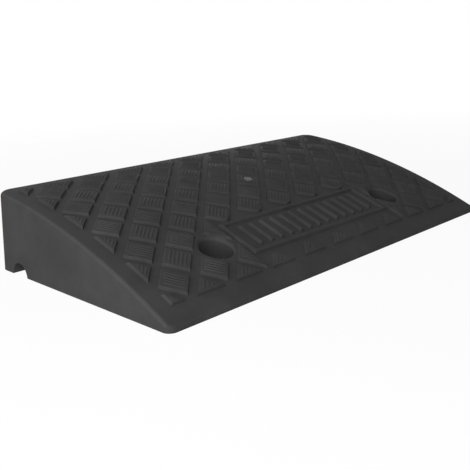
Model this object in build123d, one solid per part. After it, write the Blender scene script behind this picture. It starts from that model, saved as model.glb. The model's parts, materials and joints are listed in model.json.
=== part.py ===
from build123d import *
from math import asin, ceil, cos, hypot, inf, pi, radians, sin, sqrt, tan
import os

os.makedirs("parts", exist_ok=True)

# Rubber threshold ramp. X runs along its length, Y from the nose to the back and Z up.
# The origin is under the middle of its base. Sizes are in millimetres, angles in degrees.

# Moulded body
RAMP_LENGTH = 500.0
RAMP_DEPTH = 275.0
NOSE_HEIGHT = 4.5  # step at the front edge
BACK_HEIGHT = 82.8  # height of the top curve above the foot of the back face
TOP_RADIUS = 766.0  # the top is one long arc from nose to back
END_DRAFT = 2.2
BACK_DRAFT = 4.2
FRONT_CORNER_RADIUS = 8.0  # the two upright corners at the nose
BACK_CORNER_RADIUS = 15.0  # the two upright corners at the back
TOP_EDGE_RADIUS = 4.5  # all round the top

# Tread of raised square blocks, turned 45 degrees, with its places measured along the arc of the top
BLOCK_SIDE = 25.6
GROOVE_WIDTH = 7.4
BLOCK_STRETCH = 1.032  # how much longer blocks and grooves are up the slope
BLOCK_RISE = 3.0
BLOCK_DRAFT = 22.0
BLOCK_EDGE_RADIUS = 1.5  # less on a narrow block
BLOCK_SINK = 1.5  # how far a raised feature is rooted in the body
EDGE_FLATS = 3  # flats that stand for the round upper edge of a raised feature
LARGEST_ROUND = 0.25  # of that edge, as a share of the feature's width
NARROWEST_BLOCK = 5.5  # a cut block that would be narrower is left off
SHORTEST_EDGE = 3.8  # a cut block's shorter edges are dropped
END_BORDER = 19.0  # smooth strip at both ends
NOSE_BORDER = 21.0
BACK_BORDER = 23.0
DATUM_FROM_NOSE = 164.3  # centre of the block on the middle line that carries the gate mark

# Smooth panel between the bolt holes, with a raised frame and grip bars, also along the arc
PANEL_LENGTH = 229.0
PANEL_FROM_NOSE = 40.5
PANEL_WIDTH = 60.5
FRAME_LENGTH = 219.0
FRAME_WIDTH = 54.0
BAR_WIDTH = 5.0  # of the frame too
BAR_LENGTH = 34.0
BAR_PITCH = 15.0
BAR_RISE = 2.6
BAR_DRAFT = 25.0
BAR_EDGE_RADIUS = 1.0

# Bolt holes, lined with a steel sleeve and a seat washer
HOLE_SPACING = 276.0
HOLE_FROM_NOSE = 63.5
BORE_DIAMETER = 33.0  # upright bore for the bolt head and its socket
RIM_BEVEL = 2.5  # of the bore's mouth, square to the slope
SEAT_HEIGHT = 14.0  # floor of the bore above the base
BOLT_CLEARANCE_DIAMETER = 14.0  # for an M12 anchor bolt
WASHER_THICKNESS = 3.0
WASHER_CLEARANCE = 0.5  # round the washer, in the bore
SLEEVE_WALL = 3.0
SLEEVE_FIT = 0.1  # round the sleeve, in the rubber

# Drain channel under the back, open at both ends
CHANNEL_RADIUS = 14.0
CHANNEL_FROM_BACK = 43.5
CHANNEL_CENTRE_DROP = 1.0  # centre of its arch below the base

# Gate mark left by the mould
GATE_DIAMETER = 9.5
GATE_RISE = 1.2
GATE_CHAMFER = 0.6
GATE_DISH_DIAMETER = 6.4  # of the dimple in its top
GATE_DISH_DEPTH = 0.9

NOSE_Y = -RAMP_DEPTH / 2
BACK_Y = RAMP_DEPTH / 2
END_X = RAMP_LENGTH / 2
HOLE_Y = NOSE_Y + HOLE_FROM_NOSE
ENVELOPE_HEIGHT = 2 * BACK_HEIGHT + NOSE_HEIGHT  # higher than anything on the ramp
RIM_DIAMETER = BORE_DIAMETER + 2 * RIM_BEVEL
SLEEVE_DIAMETER = BOLT_CLEARANCE_DIAMETER + 2 * SLEEVE_WALL
PANEL_MIDDLE = PANEL_FROM_NOSE + PANEL_WIDTH / 2
PANEL_BACK = PANEL_FROM_NOSE + PANEL_WIDTH

# Centre of the top arc, which passes through the nose and the foot of the back
CHORD_Y = BACK_Y - NOSE_Y
CHORD_Z = BACK_HEIGHT - NOSE_HEIGHT
CHORD = hypot(CHORD_Y, CHORD_Z)
CENTRE_DROP = sqrt(TOP_RADIUS**2 - CHORD**2 / 4)
ARC_Y = (NOSE_Y + BACK_Y) / 2 + CENTRE_DROP * CHORD_Z / CHORD
ARC_Z = (NOSE_HEIGHT + BACK_HEIGHT) / 2 - CENTRE_DROP * CHORD_Y / CHORD
NOSE_ANGLE = asin((NOSE_Y - ARC_Y) / TOP_RADIUS)


def run_to(y):
    """Length of the top arc from the nose to a given y."""
    return TOP_RADIUS * (asin((y - ARC_Y) / TOP_RADIUS) - NOSE_ANGLE)


def top_plane(x, run):
    """The plane that touches the top at x, a given length up the arc, with its own X along the ramp."""
    angle = NOSE_ANGLE + run / TOP_RADIUS
    outwards = Vector(0, sin(angle), cos(angle))
    return Plane(origin=Vector(x, ARC_Y, ARC_Z) + outwards * TOP_RADIUS, x_dir=(1, 0, 0), z_dir=outwards)


def body_blank():
    """The wedge: an arched section along X, cut back by the ends' draft, with rounded edges."""
    lean = ENVELOPE_HEIGHT * tan(radians(BACK_DRAFT))
    corners = [(NOSE_Y, 0), (BACK_Y, 0), (BACK_Y - lean, ENVELOPE_HEIGHT), (NOSE_Y, ENVELOPE_HEIGHT)]
    section = make_face(Polyline(*corners, close=True)) & Pos(ARC_Y, ARC_Z) * Circle(TOP_RADIUS)
    wedge = extrude(Plane.YZ * section, amount=END_X, both=True)

    upper_x = END_X - ENVELOPE_HEIGHT * tan(radians(END_DRAFT))
    ends = [(-END_X, 0), (END_X, 0), (upper_x, ENVELOPE_HEIGHT), (-upper_x, ENVELOPE_HEIGHT)]
    wedge &= extrude(Plane.XZ * make_face(Polyline(*ends, close=True)), amount=RAMP_DEPTH, both=True)

    for side, radius in ((-1, FRONT_CORNER_RADIUS), (1, BACK_CORNER_RADIUS)):
        wedge = fillet(corner_edges(wedge, side), radius)
    top = wedge.faces().filter_by(GeomType.CYLINDER).sort_by(SortBy.AREA)[-1]
    return fillet(top.edges(), TOP_EDGE_RADIUS)


def corner_edges(wedge, side):
    """The two edges that rise from the base's corners, at the front (-1) or at the back (1)."""
    level = NOSE_HEIGHT / 2
    rising = [e for e in wedge.edges() if e.bounding_box().min.Z < level < e.bounding_box().max.Z]
    return [e for e in rising if e.center().Y * side > 0]


def clip(points, across, along, limit):
    """The part of a convex outline where across * x + along * y stays under the limit."""
    kept = []
    for (ax, ay), (bx, by) in zip(points, points[1:] + points[:1]):
        a = across * ax + along * ay - limit
        b = across * bx + along * by - limit
        if a <= 0:
            kept.append((ax, ay))
        if a * b < 0:
            t = a / (a - b)
            kept.append((ax + t * (bx - ax), ay + t * (by - ay)))
    return kept


def drop_short_edges(points):
    """A convex outline whose short edges are gone, with the edges beside them run on until they cross."""
    kept = list(points)
    i = 0
    while i < len(kept) and len(kept) > 3:
        (ax, ay), (bx, by), (cx, cy), (dx, dy) = (kept[(i + j) % len(kept)] for j in (-1, 0, 1, 2))
        if hypot(cx - bx, cy - by) > SHORTEST_EDGE:
            i += 1
            continue
        spread = (bx - ax) * (dy - cy) - (by - ay) * (dx - cx)
        t = ((cx - ax) * (dy - cy) - (cy - ay) * (dx - cx)) / spread
        kept[i] = (ax + t * (bx - ax), ay + t * (by - ay))
        del kept[(i + 1) % len(kept)]
        i = 0
    return kept


def inset(outline, distance):
    """A convex outline, run anticlockwise, with every edge moved inwards by a distance."""
    normals = []
    for a, b in zip(outline, outline[1:] + outline[:1]):
        normals.append(Vector(a.Y - b.Y, b.X - a.X).normalized())
    moved = []
    for point, before, after in zip(outline, normals[-1:] + normals[:-1], normals):
        moved.append(point + (before + after) * (distance / (1 + before.dot(after))))
    return moved


def width(points):
    """The least distance between two parallel lines that hold a convex outline."""
    least = inf
    for (ax, ay), (bx, by) in zip(points, points[1:] + points[:1]):
        run = hypot(bx - ax, by - ay)
        least = min(least, max(((bx - ax) * (py - ay) - (by - ay) * (px - ax)) / run for px, py in points))
    return least


def edge_levels(rise, draft, edge_radius):
    """Heights of a raised feature's rings, from root to rounded edge, and how far inwards each lies."""
    lean = tan(radians(draft))
    levels = [(-BLOCK_SINK, -BLOCK_SINK * lean)]
    shoulder = rise - edge_radius
    for flat in range(EDGE_FLATS + 1):
        angle = pi / 2 * flat / EDGE_FLATS
        levels.append((shoulder + edge_radius * sin(angle), shoulder * lean + edge_radius * (1 - cos(angle))))
    return levels


def stacked(points, levels):
    """A solid on the top, from its outline in x and run, drawn inwards by a distance at each height."""
    x = sum(p[0] for p in points) / len(points)
    run = sum(p[1] for p in points) / len(points)
    seat = top_plane(x, run)
    outline = [Vector(px - x, pr - run) for px, pr in points]
    rings = []
    for height, inwards in levels:
        ring = inset(outline, inwards)
        rings.append([seat.from_local_coords(p + Vector(0, 0, height)) for p in ring])
    faces = [Face(Wire.make_polygon(ring)) for ring in (rings[0], rings[-1])]
    for low, high in zip(rings, rings[1:]):
        for i in range(len(low)):
            faces.append(Face(Wire.make_polygon([low[i - 1], low[i], high[i], high[i - 1]])))
    return Solid(Shell(faces))


def raised(points, rise, draft, edge_radius):
    """A drafted block on the top, from its outline in x and run, with its upper edge rounded in flats."""
    return stacked(points, edge_levels(rise, draft, min(edge_radius, LARGEST_ROUND * width(points))))


def tread_outlines():
    """Squares on a 45 degree lattice, cut at the smooth borders and kept off the panel and the holes."""
    column_step = (BLOCK_SIDE + GROOVE_WIDTH) / sqrt(2)
    row_step = column_step * BLOCK_STRETCH
    half_x = BLOCK_SIDE / sqrt(2)
    half_run = half_x * BLOCK_STRETCH
    side_limit = END_X - END_BORDER
    back_limit = run_to(BACK_Y) - BACK_BORDER
    reach = ceil((RAMP_LENGTH + RAMP_DEPTH) / column_step)
    outlines = []
    for row in range(-reach, reach + 1):
        for column in range(-reach, reach + 1):
            if (row + column) % 2:
                continue
            x = column * column_step
            run = DATUM_FROM_NOSE + row * row_step
            along_panel = abs(x) < PANEL_LENGTH / 2
            beside_panel = PANEL_FROM_NOSE < run < PANEL_BACK
            if along_panel and beside_panel:
                continue
            if hypot(abs(x) - HOLE_SPACING / 2, run - run_to(HOLE_Y)) < RIM_DIAMETER / 2:
                continue
            square = [(x - half_x, run), (x, run - half_run), (x + half_x, run), (x, run + half_run)]
            square = clip(square, 1, 0, side_limit)
            square = clip(square, -1, 0, side_limit)
            square = clip(square, 0, 1, back_limit)
            square = clip(square, 0, -1, -NOSE_BORDER)
            if along_panel and run < PANEL_MIDDLE:
                square = clip(square, 0, 1, PANEL_FROM_NOSE)
            elif along_panel:
                square = clip(square, 0, -1, -PANEL_BACK)
            elif beside_panel:
                square = clip(square, -1 if x > 0 else 1, 0, -PANEL_LENGTH / 2)
            if len(square) > 2 and width(square) > NARROWEST_BLOCK:
                outlines.append(drop_short_edges(square))
    return outlines


def bar_outlines():
    """Plain bars in a row along the frame, with a pitch left free at each end."""
    front, back = PANEL_MIDDLE - BAR_LENGTH / 2, PANEL_MIDDLE + BAR_LENGTH / 2
    count = int(FRAME_LENGTH / BAR_PITCH) - 1
    first = -(count - 1) * BAR_PITCH / 2
    outlines = []
    for i in range(count):
        left = first + i * BAR_PITCH - BAR_WIDTH / 2
        right = left + BAR_WIDTH
        outlines.append([(left, front), (right, front), (right, back), (left, back)])
    return outlines


def panel_frame():
    """A raised plate with all but its border cut away, by walls that lean as its outer ones do."""
    end = FRAME_LENGTH / 2
    front, back = PANEL_MIDDLE - FRAME_WIDTH / 2, PANEL_MIDDLE + FRAME_WIDTH / 2
    outline = [(-end, front), (end, front), (end, back), (-end, back)]
    levels = edge_levels(BAR_RISE, BAR_DRAFT, BAR_EDGE_RADIUS)
    inner = [(height, BAR_WIDTH - inwards) for height, inwards in levels]
    root, top = inner[0], inner[-1]
    inner = [(root[0] - BLOCK_SINK, root[1]), *inner, (top[0] + BAR_RISE, top[1])]
    return stacked(outline, levels) - stacked(outline, inner)


def gate_mark():
    """A low round button on the middle block, with a chamfered edge and a dished top."""
    seat = top_plane(0, DATUM_FROM_NOSE)
    pip = seat * Pos(0, 0, BLOCK_RISE / 2) * Cylinder(
        GATE_DIAMETER / 2, BLOCK_RISE / 2 + GATE_RISE, align=(Align.CENTER, Align.CENTER, Align.MIN)
    )
    upper = pip.faces().sort_by(Axis(seat.origin, seat.z_dir))[-1]
    pip = chamfer(upper.edges(), GATE_CHAMFER)
    dish_radius = (GATE_DISH_DIAMETER**2 / 4 + GATE_DISH_DEPTH**2) / (2 * GATE_DISH_DEPTH)
    dish_height = BLOCK_RISE + GATE_RISE - GATE_DISH_DEPTH + dish_radius
    return pip - seat * Pos(0, 0, dish_height) * Sphere(dish_radius)


def upright(x, diameter, low, high):
    """A cylinder on a bolt axis, between two heights."""
    return Pos(x, HOLE_Y, low) * Cylinder(
        diameter / 2, high - low, align=(Align.CENTER, Align.CENTER, Align.MIN)
    )


def hole_cuts(x):
    """Bevelled mouth square to the slope, then the upright bore and the bore for the sleeve."""
    narrow = BORE_DIAMETER / 2
    mouth = top_plane(x, run_to(HOLE_Y)).offset(-RIM_BEVEL) * Cone(
        narrow, 2 * narrow, narrow, align=(Align.CENTER, Align.CENTER, Align.MIN)
    )
    bore = upright(x, BORE_DIAMETER, SEAT_HEIGHT, ENVELOPE_HEIGHT)
    lining = upright(x, SLEEVE_DIAMETER + 2 * SLEEVE_FIT, -SEAT_HEIGHT, 2 * SEAT_HEIGHT)
    return [mouth, bore, lining]


def channel_cut():
    arch = Pos(BACK_Y - CHANNEL_FROM_BACK, -CHANNEL_CENTRE_DROP) * Circle(CHANNEL_RADIUS)
    return extrude(Plane.YZ * arch, amount=RAMP_LENGTH, both=True)


def sleeve(x):
    tube = upright(x, SLEEVE_DIAMETER, 0, SEAT_HEIGHT)
    return tube - upright(x, BOLT_CLEARANCE_DIAMETER, 0, SEAT_HEIGHT)


def seat_washer(x):
    top = SEAT_HEIGHT + WASHER_THICKNESS
    disc = upright(x, BORE_DIAMETER - 2 * WASHER_CLEARANCE, SEAT_HEIGHT, top)
    return disc - upright(x, BOLT_CLEARANCE_DIAMETER, SEAT_HEIGHT, top)


def ramp_body():
    blocks = [raised(o, BLOCK_RISE, BLOCK_DRAFT, BLOCK_EDGE_RADIUS) for o in tread_outlines()]
    bars = [raised(o, BAR_RISE, BAR_DRAFT, BAR_EDGE_RADIUS) for o in bar_outlines()]
    body = body_blank() + blocks + bars + [panel_frame(), gate_mark()]
    for side in (-1, 1):
        body -= hole_cuts(side * HOLE_SPACING / 2)
    return body - channel_cut()


export_step(ramp_body(), "parts/ramp_body.step")
for side, sign in (("left", -1), ("right", 1)):
    axis_x = sign * HOLE_SPACING / 2
    export_step(sleeve(axis_x), f"parts/sleeve_{side}.step")
    export_step(seat_washer(axis_x), f"parts/seat_washer_{side}.step")
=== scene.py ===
import json
from math import asin, ceil, cos, hypot, pi, radians, sin, sqrt, tan

import bmesh
import bpy
import numpy as np
from bpy.props import FloatProperty, FloatVectorProperty, PointerProperty
from mathutils import Matrix, Vector


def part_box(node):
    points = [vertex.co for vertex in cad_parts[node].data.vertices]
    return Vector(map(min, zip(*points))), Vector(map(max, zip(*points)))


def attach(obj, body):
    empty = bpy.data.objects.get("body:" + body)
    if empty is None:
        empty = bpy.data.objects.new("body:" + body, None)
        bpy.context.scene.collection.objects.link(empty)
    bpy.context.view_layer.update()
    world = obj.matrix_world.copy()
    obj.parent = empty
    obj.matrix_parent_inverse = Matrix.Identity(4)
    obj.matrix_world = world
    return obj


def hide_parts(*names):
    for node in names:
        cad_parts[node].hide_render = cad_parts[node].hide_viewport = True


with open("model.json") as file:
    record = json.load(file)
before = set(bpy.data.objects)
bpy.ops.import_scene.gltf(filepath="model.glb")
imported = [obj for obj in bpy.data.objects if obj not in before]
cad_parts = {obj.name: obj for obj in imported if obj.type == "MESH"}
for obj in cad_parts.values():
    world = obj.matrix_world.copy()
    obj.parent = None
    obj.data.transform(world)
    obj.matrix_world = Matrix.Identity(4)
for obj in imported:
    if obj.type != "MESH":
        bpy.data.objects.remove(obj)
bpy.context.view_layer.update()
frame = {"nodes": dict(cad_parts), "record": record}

bl_info = {
    "name": "Threshold Ramp",
    "version": (1, 0, 0),
    "blender": (4, 5, 0),
    "location": "3D View > Sidebar > Ramp",
    "description": "Dresses a rubber threshold ramp and sets it on a studio floor",
    "category": "Object",
}

# The model's box as it was packed, and the places that the record gives
BODY_LOW, BODY_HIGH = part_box("ramp_body")
MOUNTS = {mount["name"]: mount for mount in frame["record"]["mounts"]}
BOLTS = MOUNTS["anchor_bolts"]
MM = 0.001
HOLE_X = BOLTS["dims"]["spacing_x_mm"] * MM / 2
HOLE_Y = BOLTS["pos_m"][1]
BORE_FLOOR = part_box("sleeve_left")[1].z

# Slopes under the first count as level, vertices nearer than the second are joined, and edges that turn by
# more than the third are creases
LEVEL = 1e-6
SAME_SPOT = 1e-6
CREASE = radians(50)

# How deep a rounded edge's middle lies inside its two faces, added up, and where its scuffing and painted
# highlight end, as shares of its radius
EDGE_MIDDLE = 2 - sqrt(2)
EDGE_SCUFF_AND_HIGHLIGHT_END = 0.68

# Depths at which a bolt hole's mouth, scuffing plus painted highlight, is at full strength and at its end,
# and distances outside the bore at which its painted shade starts and is full, as shares of the bevel's width
MOUTH_FULL = 0.25
MOUTH_END = 1.4
PAINTED_SHADE_START = 0.5
PAINTED_SHADE_FULL = 0.25

# Points round a rib's section, and the share of its rise that is sunk into the block
RIB_POINTS = 5
RIB_SINK = 0.25

# Rings and spokes of the gate mark, and the share of its radius that its dimple takes up
PIP_RINGS = 13
PIP_SPOKES = 32
DISH_EDGE = 0.65

# The grain group's noise, and the band of it that is spread into mottling
MOTTLE_DETAIL = 5.0
MOTTLE_ROUGHNESS = 0.6
MOTTLE_LOW = 0.34
MOTTLE_HIGH = 0.66
GRAIN_DETAIL = 3.0
GRAIN_ROUGHNESS = 0.55

# Scales of each finish's mottling and grain, in waves to the metre
RUBBER_SCALES = (26.0, 1400.0)
PIP_SCALES = (120.0, 900.0)
STEEL_SCALES = (240.0, 2600.0)

# Ranges of roughness: round the rubber's own value, and from end to end on the gate mark and the steel
RUBBER_SPREAD = (-0.05, 0.06)
PIP_ROUGHNESS = (0.4, 0.6)
STEEL_ROUGHNESS = (0.32, 0.5)
FLOOR_ROUGHNESS = 0.9

# How much of the scuffing and painted highlight is left where the mottling is weakest
LEAST_SCUFF_AND_HIGHLIGHT = 0.6

# Colour of the room and of the bleached floor
WHITE = (1.0, 1.0, 1.0, 1.0)


def length(name, description, default):
    """A property for a size in metres."""
    return FloatProperty(
        name=name,
        description=description,
        default=default,
        min=0.0,
        precision=5,
        subtype="DISTANCE",
        unit="LENGTH",
    )


def share(name, description, default):
    """A property for a share from nought to one."""
    return FloatProperty(
        name=name, description=description, default=default, min=0.0, max=1.0, subtype="FACTOR"
    )


def turn(name, description, degrees):
    """A property for an angle."""
    return FloatProperty(
        name=name, description=description, default=radians(degrees), subtype="ANGLE", unit="ROTATION"
    )


def place(name, description, default):
    """A property for a point in the ramp's frame."""
    return FloatVectorProperty(
        name=name, description=description, default=default, size=3, subtype="TRANSLATION", unit="LENGTH"
    )


def power(name, description, default):
    """A property for a lamp's power in watts."""
    return FloatProperty(name=name, description=description, default=default, min=0.0, unit="POWER")


def tint(name, description, default):
    """A property for a colour."""
    return FloatVectorProperty(
        name=name, description=description, default=default, size=3, min=0.0, max=1.0, subtype="COLOR"
    )


class RampTread(bpy.types.PropertyGroup):
    """Sizes of the curved top, its square blocks and their fine ribs"""

    nose_height: length("Nose height", "Step at the front edge", 0.0045)
    back_height: length("Back height", "Height of the top curve over the foot of the back", 0.0828)
    top_radius: length("Top radius", "Radius of the curved top", 0.766)
    end_draft: turn("End draft", "Lean of both ends", 2.2)
    top_edge: length("Top edge", "Radius of the rounded edge all round the top", 0.0045)
    block_side: length("Block side", "Side of a tread block at its foot", 0.0256)
    groove_width: length("Groove width", "Clear way between two blocks", 0.0074)
    block_stretch: FloatProperty(
        name="Stretch", description="How much longer blocks are up the slope", default=1.032
    )
    block_rise: length("Block rise", "Height of a block over the top", 0.003)
    end_border: length("End border", "Smooth strip at both ends", 0.019)
    nose_border: length("Nose border", "Smooth strip along the nose", 0.021)
    back_border: length("Back border", "Smooth strip along the back", 0.023)
    datum_from_nose: length("Datum", "Middle block's distance from the nose, up the arc", 0.1643)
    narrowest: length("Narrowest block", "A cut block that would be narrower is left off", 0.0055)
    shortest_edge: length("Shortest edge", "A cut block's shorter edges are dropped", 0.0038)
    panel_length: length("Panel length", "Length of the smooth panel between the bolt holes", 0.229)
    panel_from_nose: length("Panel place", "Distance of the smooth panel from the nose, up the arc", 0.0405)
    panel_width: length("Panel width", "Width of the smooth panel", 0.0605)
    bore: length("Bore", "Diameter of a bolt hole", 0.033)
    mouth: length("Mouth", "Diameter of a bolt hole's bevelled mouth", 0.038)
    # Depth down a bolt hole at which its painted shade is full
    painted_shade_depth: length("Painted shade depth", "Depth of a bolt hole at which it is wholly dark", 0.014)
    rib_pitch: length("Rib pitch", "Distance from rib to rib on a block", 0.0036)
    rib_width: length("Rib width", "Width of a rib at its foot", 0.0021)
    rib_rise: length("Rib rise", "Height of a rib over its block", 0.0007)
    rib_margin: length("Rib margin", "Plain edge left round a block's ribs", 0.0028)
    pip_diameter: length("Pip diameter", "Diameter of the mould's gate mark", 0.0102)
    pip_rise: length("Pip rise", "Height of the gate mark over its block", 0.0015)
    pip_dish: length("Pip dish", "Depth of the dimple in the gate mark", 0.0008)


class RampFinish(bpy.types.PropertyGroup):
    """Colours and grain of the rubber and the steel"""

    rubber: tint("Rubber", "Colour of the moulded rubber", (0.036, 0.036, 0.0365))
    bloom: tint("Bloom", "Greyer rubber where wax has come to its surface", (0.050, 0.050, 0.0506))
    rubber_gloss: share("Rubber roughness", "Roughness of the rubber", 0.66)
    rubber_sheen: share("Rubber sheen", "Strength of the rubber's reflection", 0.05)
    grain_depth: length("Grain depth", "Depth of the mould's fine grain", 0.00012)
    # Paler rubber on the rounded end edges and the bolt holes' mouths: scuffing and painted highlight
    pale_scuff_and_highlight: tint("Scuff and painted highlight", "Paler rubber where edges are scuffed", (0.055, 0.055, 0.0555))
    mouth_scuff_and_highlight: share("Mouth scuff and highlight", "How far the bolt holes' mouths are scuffed, against the edges", 0.8)
    # Painted shade: the rubber colour put deep in the bolt holes
    bore_shade: tint("Painted bore shade", "Rubber painted dark as shade, deep in the bolt holes", (0.0240, 0.0240, 0.0242))
    pip: tint("Gate mark", "Colour of the smooth gate mark", (0.08, 0.08, 0.0807))
    steel: tint("Steel", "Colour of the zinc plating", (0.55, 0.55, 0.56))
    steel_shade: tint("Steel shade", "Darker spangle in the plating", (0.40, 0.41, 0.43))


class RampStage(bpy.types.PropertyGroup):
    """Camera, lights and floor"""

    camera_place: place("Camera place", "Where the camera stands", (-0.55344, -0.52284, 0.21086))
    camera_heading: turn("Heading", "Turn of the camera from looking along Y", -44.489)
    camera_pitch: turn("Pitch", "How far the camera looks down", 15.291)
    camera_roll: turn("Roll", "Turn of the picture", -2.540)
    lens: FloatProperty(name="Lens", description="Focal length", default=52.565, unit="CAMERA")
    lamp_size: length("Lamp size", "Side of each soft lamp", 0.6)
    key_place: place("Key place", "Soft lamp facing the near end and the nose", (-0.874, -0.874, 0.697))
    key_power: power("Key power", "Power of the lamp facing the near end and the nose", 11.1)
    side_place: place("Side place", "Low soft lamp facing the near end", (-0.933, -0.250, 0.299))
    side_power: power("Side power", "Power of the low lamp facing the near end", 5.55)
    back_place: place("Back place", "Soft lamp behind the ramp", (0.0, 1.147, 0.843))
    back_power: power("Back power", "Power of the lamp behind the ramp", 2.36)
    rear_place: place("Rear place", "Low soft lamp facing the back and the far end", (1.9, 1.9, 0.3))
    rear_power: power("Rear power", "Power of the low lamp facing the back and the far end", 8.0)
    surround: FloatProperty(name="Surround", description="Strength of the pale room light", default=0.047)
    floor: tint("Floor", "Colour of the floor", (0.9, 0.9, 0.9))
    floor_size: length("Floor size", "Side of the floor", 12.0)
    floor_drop: length("Floor drop", "Gap under the base, so that floor and base share no plane", 0.0002)
    floor_white: share("Floor white", "How far the floor round the ramp is bleached in the picture", 0.93)
    shadow_reach: length("Shadow reach", "Distance from the middle where the floor starts to whiten", 0.5)
    white_from: length("White from", "Distance from the middle where the floor is wholly white", 1.5)


# Geometry shared by the pieces


def top_arc(tread):
    """Centre, in Y and Z, of the arc that passes through the nose and over the foot of the back."""
    chord_y = BODY_HIGH.y - BODY_LOW.y
    chord_z = tread.back_height - tread.nose_height
    chord = hypot(chord_y, chord_z)
    drop = sqrt(tread.top_radius**2 - chord**2 / 4)
    middle_y = (BODY_LOW.y + BODY_HIGH.y) / 2
    middle_z = (tread.nose_height + tread.back_height) / 2
    return middle_y + drop * chord_z / chord, middle_z - drop * chord_y / chord


def run_to(tread, y):
    """Length of the top arc from the nose to a given y."""
    arc_y = top_arc(tread)[0]
    turned = asin((y - arc_y) / tread.top_radius) - asin((BODY_LOW.y - arc_y) / tread.top_radius)
    return tread.top_radius * turned


def top_seat(tread, x, run):
    """The top's point at x and a length up the arc, with the unit directions up the slope and outwards."""
    arc_y, arc_z = top_arc(tread)
    angle = asin((BODY_LOW.y - arc_y) / tread.top_radius) + run / tread.top_radius
    upslope = np.array((0.0, cos(angle), -sin(angle)))
    outwards = np.array((0.0, sin(angle), cos(angle)))
    return np.array((x, arc_y, arc_z)) + tread.top_radius * outwards, upslope, outwards


def clip(points, across, along, limit):
    """The part of a convex outline where across * x + along * y stays under the limit."""
    kept = []
    for (ax, ay), (bx, by) in zip(points, points[1:] + points[:1]):
        a = across * ax + along * ay - limit
        b = across * bx + along * by - limit
        if a <= 0:
            kept.append((ax, ay))
        if a * b < 0:
            t = a / (a - b)
            kept.append((ax + t * (bx - ax), ay + t * (by - ay)))
    return kept


def drop_short_edges(points, least):
    """A convex outline whose short edges are gone, with the edges beside them run on until they cross."""
    kept = list(points)
    i = 0
    while i < len(kept) and len(kept) > 3:
        (ax, ay), (bx, by), (cx, cy), (dx, dy) = (kept[(i + j) % len(kept)] for j in (-1, 0, 1, 2))
        if hypot(cx - bx, cy - by) > least:
            i += 1
            continue
        spread = (bx - ax) * (dy - cy) - (by - ay) * (dx - cx)
        t = ((cx - ax) * (dy - cy) - (cy - ay) * (dx - cx)) / spread
        kept[i] = (ax + t * (bx - ax), ay + t * (by - ay))
        del kept[(i + 1) % len(kept)]
        i = 0
    return kept


def edge_inwards(outline):
    """Corners of a convex outline that runs anticlockwise, and the unit direction inwards from each edge."""
    corners = np.array(outline)
    along = np.roll(corners, -1, axis=0) - corners
    inwards = np.column_stack((-along[:, 1], along[:, 0])) / np.hypot(along[:, 0], along[:, 1])[:, None]
    return corners, inwards


def edge_distances(outline, points):
    """Distance of each point inside each edge of a convex outline that runs anticlockwise."""
    corners, inwards = edge_inwards(outline)
    return np.einsum("pej,ej->pe", points[:, None, :] - corners[None], inwards)


def block_outlines(tread):
    """Blocks as (row, outline in x and run): squares on a 45 degree lattice, cut at the borders and panel.

    A square whose middle is on the panel or in a hole's mouth is left out, and so is one cut too narrow.
    """
    column_step = (tread.block_side + tread.groove_width) / sqrt(2)
    row_step = column_step * tread.block_stretch
    half_x = tread.block_side / sqrt(2)
    half_run = half_x * tread.block_stretch
    side_limit = BODY_HIGH.x - tread.end_border
    back_limit = run_to(tread, BODY_HIGH.y) - tread.back_border
    panel_back = tread.panel_from_nose + tread.panel_width
    hole_run = run_to(tread, HOLE_Y)
    reach = ceil((BODY_HIGH.x - BODY_LOW.x + BODY_HIGH.y - BODY_LOW.y) / column_step)
    found = []
    for row in range(-reach, reach + 1):
        for column in range(-reach, reach + 1):
            if (row + column) % 2:
                continue
            x = column * column_step
            run = tread.datum_from_nose + row * row_step
            along_panel = abs(x) < tread.panel_length / 2
            beside_panel = tread.panel_from_nose < run < panel_back
            if along_panel and beside_panel:
                continue
            if hypot(abs(x) - HOLE_X, run - hole_run) < tread.mouth / 2:
                continue
            square = [(x - half_x, run), (x, run - half_run), (x + half_x, run), (x, run + half_run)]
            square = clip(square, 1, 0, side_limit)
            square = clip(square, -1, 0, side_limit)
            square = clip(square, 0, 1, back_limit)
            square = clip(square, 0, -1, -tread.nose_border)
            if along_panel and run < panel_back:
                square = clip(square, 0, 1, tread.panel_from_nose)
            elif along_panel:
                square = clip(square, 0, -1, -panel_back)
            elif beside_panel:
                square = clip(square, -1 if x > 0 else 1, 0, -tread.panel_length / 2)
            if len(square) < 3:
                continue
            width = edge_distances(square, np.array(square)).max(axis=0).min()
            if width > tread.narrowest:
                found.append((row, drop_short_edges(square, tread.shortest_edge)))
    return found


# Meshes and materials


def piece_from_arrays(name, vertices, faces, material):
    """A smooth mesh piece from vertex and face arrays, on the ramp's body."""
    mesh = bpy.data.meshes.new(name)
    mesh.from_pydata(vertices.tolist(), [], faces.tolist())
    join_doubles(mesh)
    mesh.validate()
    mesh.shade_smooth()
    return finish_piece(name, mesh, material)


def join_doubles(mesh):
    """Joins vertices that lie on one spot, so that seams and poles are closed."""
    joined = bmesh.new()
    joined.from_mesh(mesh)
    bmesh.ops.remove_doubles(joined, verts=joined.verts, dist=SAME_SPOT)
    joined.to_mesh(mesh)
    joined.free()


def finish_piece(name, mesh, material):
    """An object for a mesh, with its material in its one slot, on the ramp's body."""
    mesh.materials.clear()
    mesh.materials.append(material)
    piece = bpy.data.objects.new(name, mesh)
    bpy.context.scene.collection.objects.link(piece)
    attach(piece, "root")
    return piece


def add_node(tree, kind, inputs=None, **settings):
    """A shader node with its settings, its constant inputs and the sockets that feed it."""
    made = tree.nodes.new(kind)
    for name, value in settings.items():
        setattr(made, name, value)
    for socket, value in (inputs or {}).items():
        if isinstance(value, bpy.types.NodeSocket):
            tree.links.new(value, made.inputs[socket])
        else:
            made.inputs[socket].default_value = value
    return made


def new_material(name):
    """A material with its Principled shader, and the tree and shader to fill in."""
    material = bpy.data.materials.new(name)
    material.use_nodes = True
    tree = material.node_tree
    return material, tree, tree.nodes["Principled BSDF"]


def opaque(colour):
    """A colour with its alpha."""
    return (*colour, 1.0)


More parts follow.
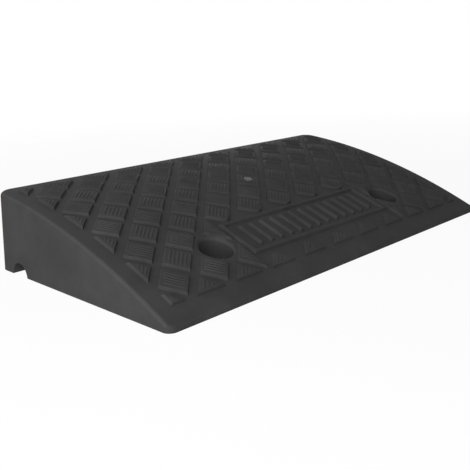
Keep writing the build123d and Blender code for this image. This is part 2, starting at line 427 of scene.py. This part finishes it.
def moulded_grain():
    """Node group: broad mottling and fine grain, at two scales, from noise on the piece's own coordinates."""
    name = "moulded_grain"
    if name in bpy.data.node_groups:
        return bpy.data.node_groups[name]
    group = bpy.data.node_groups.new(name, "ShaderNodeTree")
    sockets = group.interface
    sockets.new_socket("Vector", in_out="INPUT", socket_type="NodeSocketVector")
    sockets.new_socket("Mottle Scale", in_out="INPUT", socket_type="NodeSocketFloat")
    sockets.new_socket("Grain Scale", in_out="INPUT", socket_type="NodeSocketFloat")
    sockets.new_socket("Mottle", in_out="OUTPUT", socket_type="NodeSocketFloat")
    sockets.new_socket("Grain", in_out="OUTPUT", socket_type="NodeSocketFloat")
    entry = group.nodes.new("NodeGroupInput")
    leave = group.nodes.new("NodeGroupOutput")
    noises = []
    for scale, detail, roughness in (
        ("Mottle Scale", MOTTLE_DETAIL, MOTTLE_ROUGHNESS),
        ("Grain Scale", GRAIN_DETAIL, GRAIN_ROUGHNESS),
    ):
        inputs = {"Vector": entry.outputs["Vector"], "Scale": entry.outputs[scale]}
        inputs.update({"Detail": detail, "Roughness": roughness})
        noises.append(add_node(group, "ShaderNodeTexNoise", inputs).outputs["Fac"])
    group.links.new(fade(group, noises[0], MOTTLE_LOW, MOTTLE_HIGH), leave.inputs["Mottle"])
    group.links.new(noises[1], leave.inputs["Grain"])
    return group


def own_place(tree):
    """The piece's own coordinates, which are those of the ramp's frame."""
    return add_node(tree, "ShaderNodeTexCoord").outputs["Object"]


def grain_node(tree, mottle_scale, grain_scale):
    """The grain group in a material, on Object coordinates."""
    return add_node(
        tree,
        "ShaderNodeGroup",
        {"Vector": own_place(tree), "Mottle Scale": mottle_scale, "Grain Scale": grain_scale},
        node_tree=moulded_grain(),
    )


def spread_value(tree, mask, low, high):
    """A mask from nought to one, spread between two values."""
    inputs = {"Value": mask, "To Min": low, "To Max": high}
    return add_node(tree, "ShaderNodeMapRange", inputs).outputs["Result"]


def mix_colour(tree, mask, low, high):
    """Two colours, or the sockets that give them, mixed by a mask."""
    mixed = add_node(tree, "ShaderNodeMix", data_type="RGBA")
    tree.links.new(mask, mixed.inputs["Factor"])
    ends = [socket for socket in mixed.inputs if socket.type == "RGBA"]
    for socket, colour in zip(ends, (low, high)):
        if isinstance(colour, bpy.types.NodeSocket):
            tree.links.new(colour, socket)
        else:
            socket.default_value = opaque(colour)
    return next(socket for socket in mixed.outputs if socket.type == "RGBA")


def reckon(tree, operation, *values):
    """The result of a sum on values and sockets."""
    return add_node(tree, "ShaderNodeMath", dict(enumerate(values)), operation=operation).outputs[0]


def fade(tree, value, nought, one):
    """A mask that goes evenly from nought to one between two values."""
    inputs = {"Value": value, "From Min": nought, "From Max": one}
    return add_node(tree, "ShaderNodeMapRange", inputs).outputs["Result"]


def vector_length(tree, vector):
    """How long a vector is."""
    return add_node(tree, "ShaderNodeVectorMath", {0: vector}, operation="LENGTH").outputs["Value"]


def distance(tree, one_way, other_way):
    """How far a point lies from another, given how far it lies from it in two square directions."""
    sides = add_node(tree, "ShaderNodeCombineXYZ", {"X": one_way, "Y": other_way})
    return vector_length(tree, sides.outputs[0])


def worn_places(tread):
    """Node group: masks of painted highlight with scuffing on the rounded end edges and hole mouths, and of
    painted shade in the bores.

    Sunk is the depth under the arc of the top, and inset is the distance inside the nearer end. On the
    rounded edge the two add up to less than its radius. A mouth and a bore go by the distance from the
    nearer bolt axis, and the bore's painted shade stays off the base.
    """
    name = "worn_places"
    if name in bpy.data.node_groups:
        return bpy.data.node_groups[name]
    group = bpy.data.node_groups.new(name, "ShaderNodeTree")
    group.interface.new_socket("Vector", in_out="INPUT", socket_type="NodeSocketVector")
    for output in ("Edge", "Mouth", "Bore"):
        group.interface.new_socket(output, in_out="OUTPUT", socket_type="NodeSocketFloat")
    entry = group.nodes.new("NodeGroupInput")
    leave = group.nodes.new("NodeGroupOutput")
    x, y, z = add_node(group, "ShaderNodeSeparateXYZ", {0: entry.outputs["Vector"]}).outputs
    aside = reckon(group, "ABSOLUTE", x)

    arc_y, arc_z = top_arc(tread)
    spoke = distance(group, reckon(group, "SUBTRACT", y, arc_y), reckon(group, "SUBTRACT", z, arc_z))
    sunk = reckon(group, "SUBTRACT", tread.top_radius, spoke)
    from_foot = reckon(group, "SUBTRACT", BODY_HIGH.x, aside)
    inset = reckon(group, "MULTIPLY_ADD", z, -tan(tread.end_draft), from_foot)
    rounding = reckon(group, "ADD", sunk, inset)
    # Rounded top edges at both ends, paler from scuffing and painted highlight
    edge = fade(group, rounding, tread.top_edge * EDGE_SCUFF_AND_HIGHLIGHT_END, tread.top_edge * EDGE_MIDDLE)

    away = distance(group, reckon(group, "SUBTRACT", aside, HOLE_X), reckon(group, "SUBTRACT", y, HOLE_Y))
    bevel = (tread.mouth - tread.bore) / 2
    round_hole = fade(group, away, tread.mouth / 2 + bevel, tread.mouth / 2)
    under_rim = fade(group, sunk, 0.0, bevel * MOUTH_FULL)
    over_bore = fade(group, sunk, bevel * MOUTH_END, bevel)
    mouth = reckon(group, "MULTIPLY", round_hole, reckon(group, "MULTIPLY", under_rim, over_bore))
    in_bore = fade(group, away, tread.bore / 2 + bevel * PAINTED_SHADE_START, tread.bore / 2 + bevel * PAINTED_SHADE_FULL)
    # Painted shade, darker down each bore below its bevel and none at the base
    painted_shade = reckon(group, "MULTIPLY", in_bore, fade(group, sunk, bevel, bevel + tread.painted_shade_depth))
    bore = reckon(group, "MULTIPLY", painted_shade, fade(group, z, 0.0, BORE_FLOOR))
    for output, mask in (("Edge", edge), ("Mouth", mouth), ("Bore", bore)):
        group.links.new(mask, leave.inputs[output])
    return group


def rubber_material(finish, tread):
    """Matt black rubber with patchy wax bloom, paler edges and mouths from scuffing and painted highlight,
    painted shade deep in the bolt holes, and a fine grain.
    """
    name = "moulded_rubber"
    if name in bpy.data.materials:
        return bpy.data.materials[name]
    material, tree, shader = new_material(name)
    grain = grain_node(tree, *RUBBER_SCALES)
    mottle = grain.outputs["Mottle"]
    inputs = {"Vector": own_place(tree)}
    places = add_node(tree, "ShaderNodeGroup", inputs, node_tree=worn_places(tread)).outputs
    # Scuffing and painted highlight on the edges and mouths, broken up by the mottling
    scuffed_and_highlit_mouth = reckon(tree, "MULTIPLY", places["Mouth"], finish.mouth_scuff_and_highlight)
    scuffed_and_highlit = reckon(tree, "MAXIMUM", places["Edge"], scuffed_and_highlit_mouth)
    scuffed_and_highlit = reckon(tree, "MULTIPLY", scuffed_and_highlit, spread_value(tree, mottle, LEAST_SCUFF_AND_HIGHLIGHT, 1.0))
    colour = mix_colour(tree, mottle, finish.rubber, finish.bloom)
    # Paler where scuffing and painted highlight lie
    colour = mix_colour(tree, scuffed_and_highlit, colour, finish.pale_scuff_and_highlight)
    # Painted shade deep in the bolt holes
    colour = mix_colour(tree, places["Bore"], colour, finish.bore_shade)
    tree.links.new(colour, shader.inputs["Base Color"])
    dull, duller = (finish.rubber_gloss + spread for spread in RUBBER_SPREAD)
    tree.links.new(spread_value(tree, mottle, dull, duller), shader.inputs["Roughness"])
    inputs = {"Height": grain.outputs["Grain"], "Distance": finish.grain_depth}
    bump = add_node(tree, "ShaderNodeBump", inputs)
    tree.links.new(bump.outputs["Normal"], shader.inputs["Normal"])
    shader.inputs["Specular IOR Level"].default_value = finish.rubber_sheen
    return material


def pip_material(finish):
    """The smoother, greyer rubber of the gate mark."""
    material, tree, shader = new_material("gate_mark")
    grain = grain_node(tree, *PIP_SCALES)
    colour = mix_colour(tree, grain.outputs["Mottle"], finish.bloom, finish.pip)
    tree.links.new(colour, shader.inputs["Base Color"])
    gloss = spread_value(tree, grain.outputs["Grain"], *PIP_ROUGHNESS)
    tree.links.new(gloss, shader.inputs["Roughness"])
    return material


def steel_material(finish):
    """Dull zinc plating with a faint spangle."""
    material, tree, shader = new_material("zinc_plate")
    grain = grain_node(tree, *STEEL_SCALES)
    colour = mix_colour(tree, grain.outputs["Mottle"], finish.steel_shade, finish.steel)
    tree.links.new(colour, shader.inputs["Base Color"])
    gloss = spread_value(tree, grain.outputs["Grain"], *STEEL_ROUGHNESS)
    tree.links.new(gloss, shader.inputs["Roughness"])
    shader.inputs["Metallic"].default_value = 1.0
    return material


# Operators, one for each piece or group of pieces


class RAMP_OT_rubber_body(bpy.types.Operator):
    """Shows the rubber moulding with joined faces and clean shading"""

    bl_idname = "ramp.rubber_body"
    bl_label = "Rubber body"

    def execute(self, context):
        mesh = frame["nodes"]["ramp_body"].data.copy()
        join_doubles(mesh)
        if "custom_normal" in mesh.attributes:
            mesh.attributes.remove(mesh.attributes["custom_normal"])
        mesh.shade_smooth()
        mesh.set_sharp_from_angle(angle=CREASE)
        rubber = rubber_material(context.scene.ramp_finish, context.scene.ramp_tread)
        body = finish_piece("rubber_body", mesh, rubber)
        normals = body.modifiers.new("even_shading", "WEIGHTED_NORMAL")
        normals.keep_sharp = True
        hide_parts("ramp_body")
        return {"FINISHED"}


def rib_lines(tread, row, outline):
    """Middle lines of one block's ribs, as arrays of starts, ends and one normal each.

    Lines lie a pitch apart and run along one diagonal on even rows and along the other on odd rows. Each
    is cut where it would come nearer to an edge of the block than the margin.
    """
    corners, inwards = edge_inwards(outline)
    centre = corners.mean(axis=0)
    along = np.array((1.0, 1.0 if row % 2 == 0 else -1.0)) / sqrt(2)
    across = np.array((-along[1], along[0]))
    offset = (corners - centre) @ across
    first = ceil((offset.min() + tread.rib_margin) / tread.rib_pitch)
    last = int((offset.max() - tread.rib_margin) // tread.rib_pitch)
    middle = centre + np.arange(first, last + 1)[:, None] * tread.rib_pitch * across
    inside = edge_distances(outline, middle) - tread.rib_margin
    slope = np.broadcast_to(inwards @ along, inside.shape)
    with np.errstate(divide="ignore", invalid="ignore"):
        crossing = -inside / slope
    near = np.where(slope > LEVEL, crossing, -np.inf).max(axis=1)
    far = np.where(slope < -LEVEL, crossing, np.inf).min(axis=1)
    beside = np.where(np.abs(slope) <= LEVEL, inside, np.inf).min(axis=1)
    keep = (far - near > tread.rib_pitch) & (beside > 0)
    seat, upslope, outwards = top_seat(tread, *centre)
    face = seat + tread.block_rise * outwards
    plane = np.array(((1.0, 0.0, 0.0), upslope))
    ends = [face + (middle[keep] + reach[keep, None] * along - centre) @ plane for reach in (near, far)]
    return ends[0], ends[1], np.broadcast_to(outwards, ends[0].shape)


class RAMP_OT_tread_ribs(bpy.types.Operator):
    """Adds the fine ribs on the tread blocks"""

    bl_idname = "ramp.tread_ribs"
    bl_label = "Tread ribs"

    def execute(self, context):
        tread = context.scene.ramp_tread
        sets = [rib_lines(tread, row, outline) for row, outline in block_outlines(tread)]
        start, end, normal = (np.concatenate(arrays) for arrays in zip(*sets))
        vertices, faces = rib_surface(start, end, normal, tread.rib_width, tread.rib_rise)
        rubber = rubber_material(context.scene.ramp_finish, tread)
        piece_from_arrays("tread_ribs", vertices, faces, rubber)
        return {"FINISHED"}


def rib_surface(start, end, normal, width, rise):
    """Half-round ribs: a section carried along each line, sinking into the block at both ends.

    At a station along the line, the point at angle a is on the line, plus width / 2 * cos(a) sideways, plus
    (rise + sink) * sin(a) * level - sink along the normal, where level is nought at the ends and one between.
    """
    run = end - start
    reach = np.linalg.norm(run, axis=1, keepdims=True)
    along = run / reach
    side = np.cross(normal, along)
    taper = width / 2
    stations = np.stack((0 * reach, taper + 0 * reach, reach - taper, reach), axis=1)
    level = np.array((0.0, 1.0, 1.0, 0.0))
    angle = np.linspace(0, pi, RIB_POINTS)
    sink = rise * RIB_SINK
    up = (rise + sink) * np.sin(angle)[None, :] * level[:, None] - sink
    out = width / 2 * np.cos(angle)
    points = (
        start[:, None, None, :]
        + stations[:, :, :, None] * along[:, None, None, :]
        + out[None, None, :, None] * side[:, None, None, :]
        + up[None, :, :, None] * normal[:, None, None, :]
    )
    count, rings, around = points.shape[:3]
    index = np.arange(count * rings * around).reshape(count, rings, around)
    faces = np.stack(
        (index[:, :-1, :-1], index[:, :-1, 1:], index[:, 1:, 1:], index[:, 1:, :-1]), axis=-1
    )
    return points.reshape(-1, 3), faces.reshape(-1, 4)


class RAMP_OT_gate_pip(bpy.types.Operator):
    """Adds the smooth gate mark in the middle of the tread"""

    bl_idname = "ramp.gate_pip"
    bl_label = "Gate mark"

    def execute(self, context):
        tread = context.scene.ramp_tread
        seat, upslope, outwards = top_seat(tread, 0.0, tread.datum_from_nose)
        face = seat + tread.block_rise * outwards
        vertices, faces = button_surface(face, upslope, outwards, tread)
        skin = pip_material(context.scene.ramp_finish)
        piece_from_arrays("gate_pip", vertices, faces, skin)
        return {"FINISHED"}


def button_surface(seat, upslope, outwards, tread):
    """A low dimpled dome, turned round.

    Its height at a share s of the way from the middle out is rise * sqrt(1 - s ** 4), less
    dish * (1 - (s / edge) ** 2) ** 2 within the share edge, at which the dimple ends.
    """
    shares = np.sin(np.linspace(0, pi / 2, PIP_RINGS))
    angle = np.linspace(0, 2 * pi, PIP_SPOKES, endpoint=False)
    across = np.cross(upslope, outwards)
    spoke = np.cos(angle)[:, None] * across + np.sin(angle)[:, None] * upslope
    dish = tread.pip_dish * (1 - np.minimum(shares / DISH_EDGE, 1) ** 2) ** 2
    height = tread.pip_rise * np.sqrt(1 - shares**4) - dish
    out = tread.pip_diameter / 2 * shares
    points = seat + out[:, None, None] * spoke + height[:, None, None] * outwards
    index = np.arange(points.shape[0] * points.shape[1]).reshape(points.shape[:2])
    around = np.roll(index, -1, axis=1)
    faces = np.stack((index[:-1], index[1:], around[1:], around[:-1]), axis=-1).reshape(-1, 4)
    return points.reshape(-1, 3), faces


class RAMP_OT_steel_fixings(bpy.types.Operator):
    """Gives the sleeves and seat washers their plated finish"""

    bl_idname = "ramp.steel_fixings"
    bl_label = "Steel fixings"

    def execute(self, context):
        steel = steel_material(context.scene.ramp_finish)
        for kind in ("sleeve", "seat_washer"):
            for side in ("left", "right"):
                node = frame["nodes"][f"{kind}_{side}"]
                node.data.materials.clear()
                node.data.materials.append(steel)
        return {"FINISHED"}


class RAMP_OT_stage(bpy.types.Operator):
    """Sets the floor, the lights and the camera"""

    bl_idname = "ramp.stage"
    bl_label = "Stage"

    def execute(self, context):
        stage = context.scene.ramp_stage
        make_floor(stage)
        make_world(stage)
        for lamp in ("key", "side", "back", "rear"):
            make_lamp(lamp, stage, getattr(stage, f"{lamp}_place"), getattr(stage, f"{lamp}_power"))
        make_camera(stage)
        context.scene.view_settings.view_transform = "Standard"
        return {"FINISHED"}


def viewing_rays(tree):
    """One on the rays that show the background: the camera's own, and those mirrored or let through."""
    path = add_node(tree, "ShaderNodeLightPath")
    seen = path.outputs["Is Camera Ray"]
    for other in ("Is Glossy Ray", "Is Transmission Ray"):
        seen = reckon(tree, "MAXIMUM", seen, path.outputs[other])
    return seen


def make_floor(stage):
    """A flat pale floor that keeps the ramp's shadow and is bleached in the picture, wholly so far off."""
    half = stage.floor_size / 2
    level = -stage.floor_drop
    corners = [(-half, -half, level), (half, -half, level), (half, half, level), (-half, half, level)]
    mesh = bpy.data.meshes.new("floor")
    mesh.from_pydata(corners, [], [(0, 1, 2, 3)])
    material, tree, shader = new_material("floor")
    shader.inputs["Base Color"].default_value = opaque(stage.floor)
    shader.inputs["Roughness"].default_value = FLOOR_ROUGHNESS
    shader.inputs["Specular IOR Level"].default_value = 0.0
    away = vector_length(tree, own_place(tree))
    far = fade(tree, away, stage.shadow_reach, stage.white_from)
    whitened = spread_value(tree, far, stage.floor_white, 1.0)
    bleach = reckon(tree, "MULTIPLY", viewing_rays(tree), whitened)
    white = add_node(tree, "ShaderNodeEmission", {"Color": WHITE, "Strength": 1.0})
    mixed = add_node(tree, "ShaderNodeMixShader", {0: bleach, 1: shader.outputs[0], 2: white.outputs[0]})
    tree.links.new(mixed.outputs[0], tree.nodes["Material Output"].inputs["Surface"])
    mesh.materials.append(material)
    floor = bpy.data.objects.new("floor", mesh)
    bpy.context.scene.collection.objects.link(floor)


def make_world(stage):
    """Pale room light, with a white background where the camera sees it."""
    world = bpy.data.worlds.new("room")
    world.use_nodes = True
    tree = world.node_tree
    room = tree.nodes["Background"]
    room.inputs["Color"].default_value = WHITE
    tree.links.new(spread_value(tree, viewing_rays(tree), stage.surround, 1.0), room.inputs["Strength"])
    bpy.context.scene.world = world


def make_lamp(name, stage, spot, watts):
    """A square soft lamp, aimed at the middle of the ramp and left out of the picture."""
    data = bpy.data.lights.new(name, "AREA")
    data.size = stage.lamp_size
    data.energy = watts
    lamp = bpy.data.objects.new(name, data)
    lamp.location = spot
    lamp.rotation_euler = (-Vector(spot)).to_track_quat("-Z", "Y").to_euler()
    lamp.visible_camera = False
    bpy.context.scene.collection.objects.link(lamp)


def make_camera(stage):
    """The camera, turned to its heading, then down by its pitch, then about its own axis by the roll."""
    data = bpy.data.cameras.new("camera")
    data.sensor_fit = "HORIZONTAL"
    data.lens = stage.lens
    camera = bpy.data.objects.new("camera", data)
    turned = Matrix.Rotation(stage.camera_heading, 4, "Z")
    lowered = Matrix.Rotation(pi / 2 - stage.camera_pitch, 4, "X")
    rolled = Matrix.Rotation(stage.camera_roll, 4, "Z")
    camera.matrix_world = Matrix.Translation(stage.camera_place) @ turned @ lowered @ rolled
    bpy.context.scene.collection.objects.link(camera)
    bpy.context.scene.camera = camera


OPERATORS = (
    RAMP_OT_rubber_body,
    RAMP_OT_tread_ribs,
    RAMP_OT_gate_pip,
    RAMP_OT_steel_fixings,
    RAMP_OT_stage,
)


class RAMP_PT_sidebar(bpy.types.Panel):
    """Lists the ramp's sizes, finishes and pieces"""

    bl_idname = "RAMP_PT_sidebar"
    bl_label = "Threshold Ramp"
    bl_space_type = "VIEW_3D"
    bl_region_type = "UI"
    bl_category = "Ramp"

    def draw(self, context):
        for group in (context.scene.ramp_tread, context.scene.ramp_finish, context.scene.ramp_stage):
            box = self.layout.box()
            for name in group.__annotations__:
                box.prop(group, name)
        for operator in OPERATORS:
            self.layout.operator(operator.bl_idname)


CLASSES = (RampTread, RampFinish, RampStage, *OPERATORS, RAMP_PT_sidebar)


def register():
    """Registers the classes and puts the properties on the scene."""
    for kind in CLASSES:
        bpy.utils.register_class(kind)
    bpy.types.Scene.ramp_tread = PointerProperty(type=RampTread)
    bpy.types.Scene.ramp_finish = PointerProperty(type=RampFinish)
    bpy.types.Scene.ramp_stage = PointerProperty(type=RampStage)


def unregister():
    """Takes the properties and the classes away again."""
    del bpy.types.Scene.ramp_stage
    del bpy.types.Scene.ramp_finish
    del bpy.types.Scene.ramp_tread
    for kind in reversed(CLASSES):
        bpy.utils.unregister_class(kind)


def main():
    """Makes the dressed ramp and its stage."""
    register()
    bpy.ops.ramp.rubber_body()
    bpy.ops.ramp.tread_ribs()
    bpy.ops.ramp.gate_pip()
    bpy.ops.ramp.steel_fixings()
    bpy.ops.ramp.stage()


if __name__ == "__main__":
    main()
